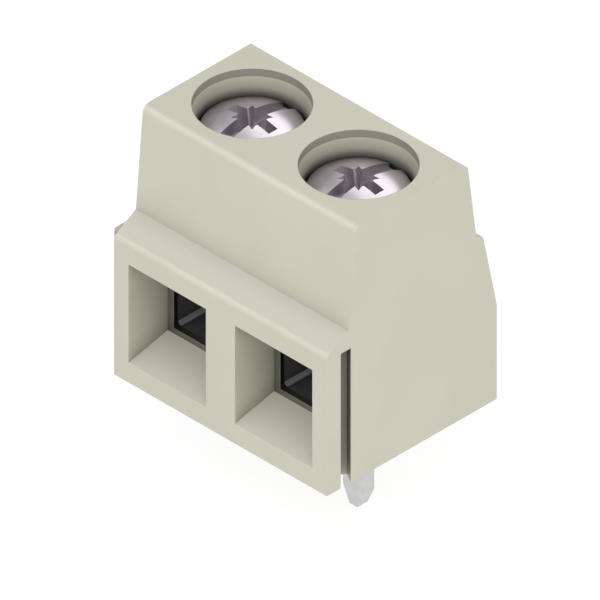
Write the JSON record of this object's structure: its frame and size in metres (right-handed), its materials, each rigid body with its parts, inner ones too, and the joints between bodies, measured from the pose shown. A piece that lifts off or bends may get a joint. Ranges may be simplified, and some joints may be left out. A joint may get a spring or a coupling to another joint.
{
  "type": "pcb screw terminal",
  "caption": "Circuit board screw terminal: moulded housing with wire funnels, clamp cages that rise when their screws are turned, and folded contacts that end in solder pins.",
  "frame": {"origin": "middle of the housing's underside, which sits on the board, between the solder pins", "axes": "+X along the row of poles, -Y the side with the wire entries, +Z away from the board"},
  "size_m": [0.0107, 0.0082, 0.0139],
  "materials": {
    "housing_plastic": "moulded polyamide, light pebble grey, satin",
    "cage_steel": "zinc plated strip steel",
    "screw_steel": "zinc plated steel, satin",
    "contact_tin": "tin plated copper alloy, matt silver"
  },
  "bodies": {
    "root": {"housing": "housing_plastic", "contact_left": "contact_tin", "contact_right": "contact_tin"},
    "screw_left": {"screw_left": "screw_steel"},
    "screw_right": {"screw_right": "screw_steel"},
    "cage_left": {"cage_left": "cage_steel"},
    "cage_right": {"cage_right": "cage_steel"}
  },
  "joints": [
    {"name": "cage_lift_left", "type": "slide", "parent": "root", "child": "cage_left", "axis": [0, 0, 1], "range_m": [0, 0.00225]},
    {"name": "screw_turn_left", "type": "hinge", "parent": "root", "child": "screw_left", "pos_m": [-0.00254, 0, 0.0085], "axis": [0, 0, -1], "range_deg": [0, 1620]},
    {"name": "cage_lift_right", "type": "slide", "parent": "root", "child": "cage_right", "axis": [0, 0, 1], "range_m": [0, 0.00225]},
    {"name": "screw_turn_right", "type": "hinge", "parent": "root", "child": "screw_right", "pos_m": [0.00254, 0, 0.0085], "axis": [0, 0, -1], "range_deg": [0, 1620]}
  ],
  "couplings": [
    {"joint": "screw_turn_left", "follows": "cage_lift_left", "rad_per_m": 12566},
    {"joint": "screw_turn_right", "follows": "cage_lift_right", "rad_per_m": 12566}
  ]
}
